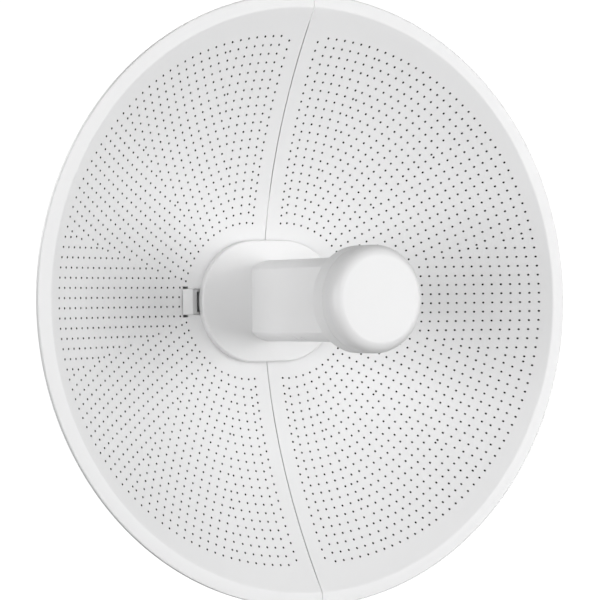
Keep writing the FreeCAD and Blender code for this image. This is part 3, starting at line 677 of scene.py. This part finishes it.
def flat_sheet():
    """Corner points, triangles and hole discs of one half, drawn flat."""
    points = list(outline)
    faces = [list(range(len(outline)))]
    for x, z in holes:
        faces.append(list(range(len(points), len(points) + HOLE_CORNERS)))
        points += hole_corners(x, z)
    edges = []
    for radius in rings[1:]:
        first = len(points)
        points += rim_points(radius)
        edges += [(first + i, first + i + 1) for i in range(RIM_STEPS)]
    points += loose_points(LOOSE_STEP, LOOSE_ROOM)
    scaled = [Vector((x / MM, z / MM)) for x, z in points]
    corners, _, made, _, _, owners = delaunay_2d_cdt(scaled, edges, faces, 0, 1e-4)
    sheet = [face for face, owner in zip(made, owners) if 0 in owner and len(owner) == 1]
    discs = {}
    for face, owner in zip(made, owners):
        for number in owner:
            if number > 0:
                discs.setdefault(number, []).append(face)
    return [(c.x * MM, c.y * MM) for c in corners], sheet, list(discs.values())


def disc_outline(triangles):
    """One face round the edge of a few triangles that form a disc."""
    follows = {}
    for face in triangles:
        for i, corner in enumerate(face):
            follows[(corner, face[(i + 1) % len(face)])] = True
    edge = {a: b for a, b in follows if (b, a) not in follows}
    loop = [next(iter(edge))]
    while edge[loop[-1]] != loop[0]:
        loop.append(edge[loop[-1]])
    return loop


corners, sheet_faces, disc_parts = flat_sheet()
disc_faces = [disc_outline(part) for part in disc_parts]
print("flat sheet:", len(corners), "corners,", len(sheet_faces), "triangles")
print("holes:", len(disc_faces))

# %% [markdown]
# Now the flat sheet becomes a dish half. The points go back to the bowl's depth, the whole sheet is
# extruded by its thickness, a narrow strip at the edge is extruded further for the turned lip, and
# each hole is pressed in from both sides with the painted shade, almost black. The sheet's outer
# corner is rounded as a pressed edge is.

# %% Press one half
RIM_ROUND, PIT_DEPTH = 0.8 * MM, 0.45 * MM


def press_half(name):
    """The flat sheet moved back to the bowl's depth and given its thickness."""
    mesh = bpy.data.meshes.new(name)
    mesh.from_pydata([(x, on_bowl(x, z), z) for x, z in corners], [], sheet_faces + disc_faces)
    mesh.materials.append(white_coat)
    mesh.materials.append(painted_shade_finish)
    # The hole discs get the painted shade.
    for face in mesh.polygons[len(sheet_faces):]:
        face.material_index = 1
    half = bpy.data.objects.new(name, mesh)
    bpy.context.scene.collection.objects.link(half)
    put_down()
    half.select_set(True)
    bpy.context.view_layer.objects.active = half
    bpy.ops.object.mode_set(mode="EDIT")
    bpy.ops.mesh.select_all(action="SELECT")
    bpy.ops.mesh.normals_make_consistent(inside=False)
    bpy.ops.mesh.extrude_region_move(TRANSFORM_OT_translate={"value": (0, SHEET, 0)})
    bpy.ops.mesh.select_all(action="SELECT")
    bpy.ops.mesh.normals_make_consistent(inside=False)
    return half


def turn_lip(half, depth):
    """Extrudes the outermost strip of the sheet's back into the turned lip."""
    def strip(face):
        ring = all(math.hypot(v.co.x, v.co.z) > LIP_R - HAIR for v in face.verts)
        return ring and all_at(face, 1, RIM_Y + SHEET)
    count = pick(half, "FACE", strip)
    bpy.ops.mesh.extrude_region_move(TRANSFORM_OT_translate={"value": (0, depth - SHEET, 0)})
    return count


def round_edge(half, y, radius, size, segments):
    """Rounds a circular edge of the sheet."""
    def edge(item):
        on_circle = all(near(math.hypot(v.co.x, v.co.z), radius) for v in item.verts)
        return all_at(item, 1, y) and on_circle
    count = pick(half, "EDGE", edge)
    bpy.ops.mesh.bevel(offset=size, segments=segments, affect="EDGES")
    return count


def press_holes(half, depth):
    """Pushes the discs in painted shade into the sheet from its front and from its back."""
    half.active_material_index = 1
    for front in (True, False):
        facing = -1 if front else 1
        pick(half, "FACE", lambda face: face.material_index == 1 and face.normal.y * facing > 0.5)
        bpy.ops.mesh.extrude_region_move(TRANSFORM_OT_translate={"value": (0, -facing * depth, 0)})
        bpy.ops.mesh.select_more()
        bpy.ops.object.material_slot_assign()


right_half = press_half("reflector_sheet_right")
print("lip faces:", turn_lip(right_half, LIP_DEPTH))
print("rounded edges:", round_edge(right_half, RIM_Y, RIM_R, RIM_ROUND, 3))
press_holes(right_half, PIT_DEPTH)
put_down()

# %% [markdown]
# Behind the seam each half has a rib, so that screws can draw the two halves together. A rib starts
# as a narrow block, is subdivided along its length, and its corners then follow the bowl. Its edges
# are broken lightly.

# %% Seam ribs
RIB_T, RIB_DEPTH = 1.6 * MM, 9 * MM
RIB_START, RIB_END = 70 * MM, BOWL_R - 8 * MM
RIB_CUTS, RIB_ROUND = 24, 0.3 * MM


def seam_rib(name, side):
    """The rib of the right half above (side 1) or below (side -1) the feed."""
    put_down()
    middle = (SEAM + RIB_T / 2, RIM_Y, side * (RIB_START + RIB_END) / 2)
    size = (RIB_T, 1 * MM, RIB_END - RIB_START)
    bpy.ops.mesh.primitive_cube_add(size=1, location=middle, scale=size)
    rib = open_piece(name)
    pick(rib, "EDGE", lambda e: abs(e.verts[0].co.z - e.verts[1].co.z) > 1 * MM)
    bpy.ops.mesh.subdivide(number_cuts=RIB_CUTS)
    mesh = bmesh.from_edit_mesh(rib.data)
    for corner in mesh.verts:
        back = corner.co.y > RIM_Y
        surface = on_bowl(corner.co.x, corner.co.z)
        corner.co.y = surface + SHEET + RIB_DEPTH if back else surface + SHEET / 2
    bmesh.update_edit_mesh(rib.data)

    def long_back_edge(edge):
        first, second = (v.co for v in edge.verts)
        behind = all(v.co.y > on_bowl(v.co.x, v.co.z) + SHEET + 1 * MM for v in edge.verts)
        return behind and near(first.x, second.x)
    pick(rib, "EDGE", long_back_edge)
    bpy.ops.mesh.bevel(offset=RIB_ROUND, segments=2, affect="EDGES")
    put_down()
    return rib


def join(piece, *others):
    """Adds other closed shells to a piece."""
    put_down()
    for other in others:
        other.select_set(True)
    piece.select_set(True)
    bpy.context.view_layer.objects.active = piece
    bpy.ops.object.join()
    return piece


join(right_half, seam_rib("rib_top", 1), seam_rib("rib_bottom", -1))
close_piece(right_half, 30, weighted=False)

# %% [markdown]
# The left half is the right one in a mirror. Mirroring turns a mesh inside out, so its normals are
# recalculated.

# %% The left half
def mirrored_copy(piece, name):
    """A copy on the other side of the middle plane."""
    copy = piece.copy()
    copy.data = piece.data.copy()
    copy.name = copy.data.name = name
    bpy.context.scene.collection.objects.link(copy)
    put_down()
    copy.select_set(True)
    bpy.context.view_layer.objects.active = copy
    copy.scale.x = -1
    bpy.ops.object.transform_apply(location=False, rotation=False, scale=True)
    bpy.ops.object.mode_set(mode="EDIT")
    bpy.ops.mesh.select_all(action="SELECT")
    bpy.ops.mesh.normals_make_consistent(inside=False)
    put_down()
    return copy


left_half = mirrored_copy(right_half, "reflector_sheet_left")
install(right_half, "antenna", "reflector", "reflector_right", finish=False)
install(left_half, "antenna", "reflector", "reflector_left", finish=False)

# %% [markdown]
# ## The feed module
# One white moulding carries everything on the dish's axis. Its collar is a flat oval plate with a
# rounded lip that lies on the bowl, its tube is round above and below with flat sides, and near the
# head the tube flares out to a round cup. Each form starts as a cylinder: the oval is one pulled
# apart at its middle, and the tube is one whose sides are bisected away.

# %% Collar
OVAL_C = 11 * MM
COLLAR_R, COLLAR_Y = 39 * MM, RIM_Y + 58.5 * MM
COLLAR_ROUND, COLLAR_GAP = 1.2 * MM, 0.05 * MM
COLLAR_START = 12 * MM
SLEEVE_R = 33 * MM


def pull_apart(piece, gap, axis=0):
    """Turns a round section into an oval by moving its halves apart, sideways or up and down."""
    for side in (1, -1):
        pick(piece, "VERT", lambda v: v.co[axis] * side > 1e-6)
        bpy.ops.transform.translate(value=[side * gap if i == axis else 0 for i in range(3)])


def outer_ring(y, inner):
    """A test for the edges at one end of an oval piece, outside an inner radius."""
    def test(edge):
        outside = all(math.hypot(max(0, abs(v.co.x) - OVAL_C), v.co.z) > inner for v in edge.verts)
        return all_at(edge, 1, y) and outside
    return test


collar = turned_cylinder("feed_moulding", COLLAR_R, COLLAR_Y, COLLAR_Y + COLLAR_START, 128)
pull_apart(collar, OVAL_C)
rear = bmesh.from_edit_mesh(collar.data)
for corner in rear.verts:
    if corner.co.y > COLLAR_Y + 1 * MM:
        corner.co.y = on_bowl(corner.co.x, corner.co.z) - COLLAR_GAP
bmesh.update_edit_mesh(collar.data)
pick(collar, "EDGE", outer_ring(COLLAR_Y, COLLAR_R - 1 * MM))
bpy.ops.mesh.bevel(offset=COLLAR_ROUND, segments=5, affect="EDGES")
pick(collar, "FACE", lambda f: f.normal.y > 0.8)
bpy.ops.mesh.inset(thickness=COLLAR_R - SLEEVE_R, depth=0)
print("collar faces:", len(collar.data.polygons))

# %% [markdown]
# The sleeve goes on from the collar into the hub. The back of the collar was left as one face, so
# it is inset and pulled back; the new end is then scaled flat.

# %% Sleeve
SLEEVE_END, SLEEVE_START = RIM_Y + 91.4 * MM, 20 * MM
bpy.ops.mesh.extrude_region_move(TRANSFORM_OT_translate={"value": (0, SLEEVE_START, 0)})
bpy.ops.transform.resize(value=(1, 0, 1), center_override=(0, SLEEVE_END, 0))
put_down()

# %% [markdown]
# The tube starts as a cylinder too. Its upper and lower halves move apart, its end face is extruded
# and scaled up into the flare, and the sides are cut flat last, so flat side and crown keep one
# crisp edge from collar to head. That edge gets a radius of half a millimetre, as a mould would
# have.

# %% Tube and flare
CROWN_R, CROWN_Z, TUBE_FLAT = 19.6 * MM, 6.3 * MM, 14 * MM
TUBE_TOP = CROWN_R + CROWN_Z
HEAD_R = 32.5 * MM
HEAD_REAR, PARTING = RIM_Y - 46 * MM, RIM_Y - 57 * MM
FLARE, FLARE_R = 8 * MM, HEAD_R - 1 * MM

tube = turned_cylinder("tube", CROWN_R, HEAD_REAR + FLARE, COLLAR_Y + 2 * MM, 128)
pull_apart(tube, CROWN_Z, axis=2)
pick(tube, "FACE", lambda f: f.normal.y < -0.9)
bpy.ops.mesh.extrude_region_move(TRANSFORM_OT_translate={"value": (0, -FLARE - 1 * MM, 0)})
swell = (FLARE_R / CROWN_R, 1, FLARE_R / TUBE_TOP)
bpy.ops.transform.resize(value=swell, center_override=(0, HEAD_REAR, 0))
for side in (1, -1):
    bpy.ops.mesh.select_all(action="SELECT")
    cut, outwards = (side * TUBE_FLAT, 0, 0), (side, 0, 0)
    bpy.ops.mesh.bisect(plane_co=cut, plane_no=outwards, use_fill=True, clear_outer=True)


def crisp_edge(edge):
    """The long edges between a flat side and the crowns."""
    on_side = all(near(abs(v.co.x), TUBE_FLAT) for v in edge.verts)
    runs = abs(edge.verts[0].co.y - edge.verts[1].co.y) > 1 * MM
    return on_side and runs


print("crisp edges:", pick(tube, "EDGE", crisp_edge))
bpy.ops.mesh.bevel(offset=0.5 * MM, segments=3, affect="EDGES")
put_down()

# %% [markdown]
# The rear cup of the head is a plain turned form. Its rear corner is rounded, and the edge that
# meets the cap is broken just enough to draw a fine line. The rebate inside it takes the cap's lip.

# %% Rear cup of the head
PARTING_BREAK = 0.25 * MM
REBATE_WALL, REBATE_DEPTH = 1.95 * MM, 4 * MM

cup = turned_cylinder("cup", HEAD_R, PARTING, HEAD_REAR, 128)
for y, size, segments in ((HEAD_REAR, 1 * MM, 4), (PARTING, PARTING_BREAK, 2)):
    pick(cup, "EDGE", lambda e: all_at(e, 1, y))
    bpy.ops.mesh.bevel(offset=size, segments=segments, affect="EDGES")
pick(cup, "FACE", lambda f: f.normal.y < -0.9)
bpy.ops.mesh.inset(thickness=REBATE_WALL, depth=0)
bpy.ops.mesh.extrude_region_move(TRANSFORM_OT_translate={"value": (0, REBATE_DEPTH, 0)})
put_down()

# %% [markdown]
# The forms are joined to one solid. Two narrow vents are then cut into the tube's underside with
# small blocks that carry the painted shade, so the walls and bottom of each vent are painted dark.

# %% One moulding
feed = combine(combine(collar, tube, "UNION"), cup, "UNION")
feed.data.materials.append(housing_plastic)
VENT_SIZE = (22 * MM, 1.2 * MM, 8 * MM)
for vent_y in (RIM_Y + 4 * MM, RIM_Y + 12.5 * MM):
    put_down()
    bpy.ops.mesh.primitive_cube_add(size=1, location=(0, vent_y, -TUBE_TOP), scale=VENT_SIZE)
    vent = open_piece("vent")
    pick(vent, "EDGE", lambda e: abs(e.verts[0].co.z - e.verts[1].co.z) > 1 * MM)
    bpy.ops.mesh.bevel(offset=0.4 * MM, segments=2, affect="EDGES")
    put_down()
    # The vent block carries the painted shade to the walls that it cuts.
    vent.data.materials.append(painted_shade_finish)
    combine(feed, vent, "DIFFERENCE")
print("finishes on the moulding:", [m.name for m in feed.data.materials if m])
close_piece(feed, 32)
install(feed, "antenna", "housing", "feed_body", finish=False)

# %% [markdown]
# The cap is the smooth white disc at the front. A generous round runs from its face to its side, so
# the light fades softly there. The lip behind it fits into the cup.

# %% Cap
CAP_FRONT, CAP_REAR = RIM_Y - 71 * MM, PARTING - 0.4 * MM
CAP_ROUND, CAP_STEP = 7 * MM, 2.05 * MM

cap = turned_cylinder("feed_cap_front", HEAD_R, CAP_FRONT, CAP_REAR, 160)
pick(cap, "EDGE", lambda e: all_at(e, 1, CAP_FRONT))
bpy.ops.mesh.bevel(offset=CAP_ROUND, segments=12, affect="EDGES")
pick(cap, "EDGE", lambda e: all_at(e, 1, CAP_REAR))
bpy.ops.mesh.bevel(offset=PARTING_BREAK, segments=2, affect="EDGES")
pick(cap, "FACE", lambda f: f.normal.y > 0.9)
bpy.ops.mesh.inset(thickness=CAP_STEP, depth=0)
bpy.ops.mesh.extrude_region_move(TRANSFORM_OT_translate={"value": (0, REBATE_DEPTH, 0)})
close_piece(cap, 32)
install(cap, "antenna", "cap", "feed_cap")

# %% [markdown]
# A latch slides under the sheet on each side of the collar. The head of its finger tab stands a
# little above the bowl and reaches over the outer edge of its window. A stem joins the head to the
# sliding block, and an arm runs on to the collar. The slot through the arm is the dark pocket
# between tab and collar. All of these are blocks with broken edges, joined to one solid.

# %% Latches
TAB_NEAR, TAB_FAR, LATCH_Z = 57 * MM, 63.8 * MM, 8.1 * MM
POCKET_NEAR, POCKET_FAR, POCKET_Z = 46 * MM, 50.2 * MM, 6.4 * MM
STEM_FAR, BLOCK_FAR = 61.4 * MM, 70 * MM
ARM_NEAR, ARM_FAR = 42.6 * MM, 58 * MM
EDGE, BLOCK_EDGE, TAB_SLOPE = 0.2 * MM, 0.3 * MM, 0.5 * MM


def block(name, low, high, edge=0.0):
    """A block between two corners with broken edges, open for editing."""
    put_down()
    middle = [(a + b) / 2 for a, b in zip(low, high)]
    sides = [b - a for a, b in zip(low, high)]
    bpy.ops.mesh.primitive_cube_add(size=1, location=middle, scale=sides)
    made = open_piece(name)
    if edge:
        bpy.ops.mesh.select_all(action="SELECT")
        bpy.ops.mesh.bevel(offset=edge, segments=2, affect="EDGES")
    return made


def behind(depth):
    """The place along Y that lies depth millimetres behind the rim."""
    return RIM_Y + depth * MM


TAB_FRONT, TAB_REAR, STEM_FRONT, STEM_REAR = behind(57.9), behind(59), behind(58.8), behind(64)
BLOCK_FRONT, ARM_FRONT, BLOCK_REAR = behind(61.4), behind(65.3), behind(67.6)
POCKET_FRONT, POCKET_REAR = behind(60), behind(70)


def latch(name):
    """The right latch: tab, stem, block and slotted arm; the tab's outer end slopes back."""
    head = block("head", (TAB_NEAR, TAB_FRONT, -LATCH_Z), (TAB_FAR, TAB_REAR, LATCH_Z))
    pick(head, "VERT", lambda v: v.co.y < STEM_FRONT and v.co.x > (TAB_NEAR + TAB_FAR) / 2)
    bpy.ops.transform.translate(value=(0, TAB_SLOPE, 0))
    bpy.ops.mesh.select_all(action="SELECT")
    bpy.ops.mesh.bevel(offset=EDGE, segments=3, affect="EDGES")
    put_down()
    low, high = (TAB_NEAR, STEM_FRONT, -LATCH_Z + EDGE), (STEM_FAR, STEM_REAR, LATCH_Z - EDGE)
    stem = block("stem", low, high, EDGE)
    put_down()
    low, high = (TAB_NEAR, BLOCK_FRONT, -LATCH_Z), (BLOCK_FAR, BLOCK_REAR, LATCH_Z)
    slider = block(name, low, high, BLOCK_EDGE)
    put_down()
    low, high = (ARM_NEAR, ARM_FRONT, -LATCH_Z), (ARM_FAR, BLOCK_REAR, LATCH_Z)
    arm = block("arm", low, high, EDGE)
    put_down()
    low, high = (POCKET_NEAR, POCKET_FRONT, -POCKET_Z), (POCKET_FAR, POCKET_REAR, POCKET_Z)
    slot = block("slot", low, high)
    put_down()
    combine(arm, slot, "DIFFERENCE")
    for other in (arm, stem, head):
        combine(slider, other, "UNION")
    return close_piece(slider, 32)


right_latch = latch("latch_slider_right")
left_latch = close_piece(mirrored_copy(right_latch, "latch_slider_left"), 32)
install(right_latch, "latch_right", "housing", "latch_right")
install(left_latch, "latch_left", "housing", "latch_left")

# %% [markdown]
# ## The rear side
# The hub is moulded, the mount plate is pressed and the pole bracket and its jaw are cast, and none
# of them has a sharp edge. Their nodes are copied, the copies' triangles are merged back to plain
# faces, and a small bevel breaks every edge. In the hub frame a recess is cut behind each slit
# beside a finger tab, so the slits look black. A boolean block brings the painted shade, almost
# black, to the walls that it cuts.

# %% Castings and mouldings behind the dish
def softened(name, size):
    """A copy of a frame node with merged faces and broken edges, which stands in for that node."""
    piece = nodes[name].copy()
    piece.data = nodes[name].data.copy()
    piece.name = piece.data.name = name + "_soft"
    bpy.context.scene.collection.objects.link(piece)
    put_down()
    piece.parent = None
    piece.matrix_world = nodes[name].matrix_world
    piece.select_set(True)
    bpy.context.view_layer.objects.active = piece
    bpy.ops.object.transform_apply(location=True, rotation=True, scale=True)
    bpy.ops.object.mode_set(mode="EDIT")
    bpy.ops.mesh.select_all(action="SELECT")
    bpy.ops.mesh.remove_doubles(threshold=2e-6)
    bpy.ops.mesh.dissolve_limited(angle_limit=math.radians(0.5))
    put_down()
    bevel = piece.modifiers.new("bevel", "BEVEL")
    bevel.width = size
    bevel.segments = 2
    bevel.limit_method = "ANGLE"
    bevel.angle_limit = math.radians(35)
    bpy.ops.object.modifier_apply(modifier=bevel.name)
    return piece


RECESS_INWARDS, RECESS_OUTWARDS, RECESS_ENDS = 0.6 * MM, 0.3 * MM, 0.8 * MM
RECESS_FRONT, RECESS_REAR = behind(55), behind(69)


def cut_slit_recesses(hub):
    """Four recesses in the hub frame whose walls get the painted shade, one behind each slit in the
    sheet.
    """
    hub.data.materials.clear()
    hub.data.materials.append(finishes["hub"])
    for side in (-1, 1):
        for end in (-1, 1):
            x = sorted((side * (SLIT_NEAR - RECESS_INWARDS), side * (SLIT_FAR + RECESS_OUTWARDS)))
            z = sorted((end * LATCH_Z, end * (SLIT_Z + RECESS_ENDS)))
            recess = block("recess", (x[0], RECESS_FRONT, z[0]), (x[1], RECESS_REAR, z[1]))
            put_down()
            # Painted shade on the walls that the block cuts.
            recess.data.materials.append(painted_shade_finish)
            combine(hub, recess, "DIFFERENCE")


rear_pieces = {
    "hub_frame": ("antenna", 0.5 * MM),
    "hub_cover": ("antenna", 0.8 * MM),
    "mount_plate": ("antenna", 0.4 * MM),
    "port_cover": ("port_cover", 0.4 * MM),
    "pole_bracket": ("bracket", 0.8 * MM),
    "clamp_jaw": ("jaw", 0.8 * MM),
}
for name, (body, size) in rear_pieces.items():
    piece = softened(name, size)
    if name == "hub_frame":
        cut_slit_recesses(piece)
    close_piece(piece)
    install(piece, body, slot_of[name], name, finish=False)

# %% [markdown]
# ## Floor
# A plain pale floor lies under the dish. To the camera it glows as white as the world behind it, so
# no horizon shows. To the object it is dark, because light thrown back from below would lift the
# shadows under the head.

# %% Floor
FLOOR_SIZE, FLOOR_DROP = 24, 0.25
FLOOR_DARK = 0.12

put_down()
bpy.ops.mesh.primitive_plane_add(size=FLOOR_SIZE, location=(0, 0, cad_low.z - FLOOR_DROP))
floor = bpy.context.object
floor.name = "floor"
paper = Finish("studio_floor")
fibre = paper.noise(0.02)
seen = paper.node("ShaderNodeLightPath", output="Is Camera Ray")
shade = paper.blend(fibre, tone(0.88, 0.88, 0.88), tone(0.9, 0.9, 0.9))
floor.data.materials.append(paper.shade(
    Base_Color=paper.blend(seen, tone(FLOOR_DARK, FLOOR_DARK, FLOOR_DARK), shade), Roughness=0.8,
    Emission_Color=paper.blend(seen, tone(0, 0, 0), tone(1, 1, 1)),
    Emission_Strength=WHITE))
floor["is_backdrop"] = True
bpy.ops.object.select_all(action="DESELECT")

# %% Hand over
size = {"cad": [list(cad_low), list(cad_high)], "visual": [list(v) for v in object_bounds()]}
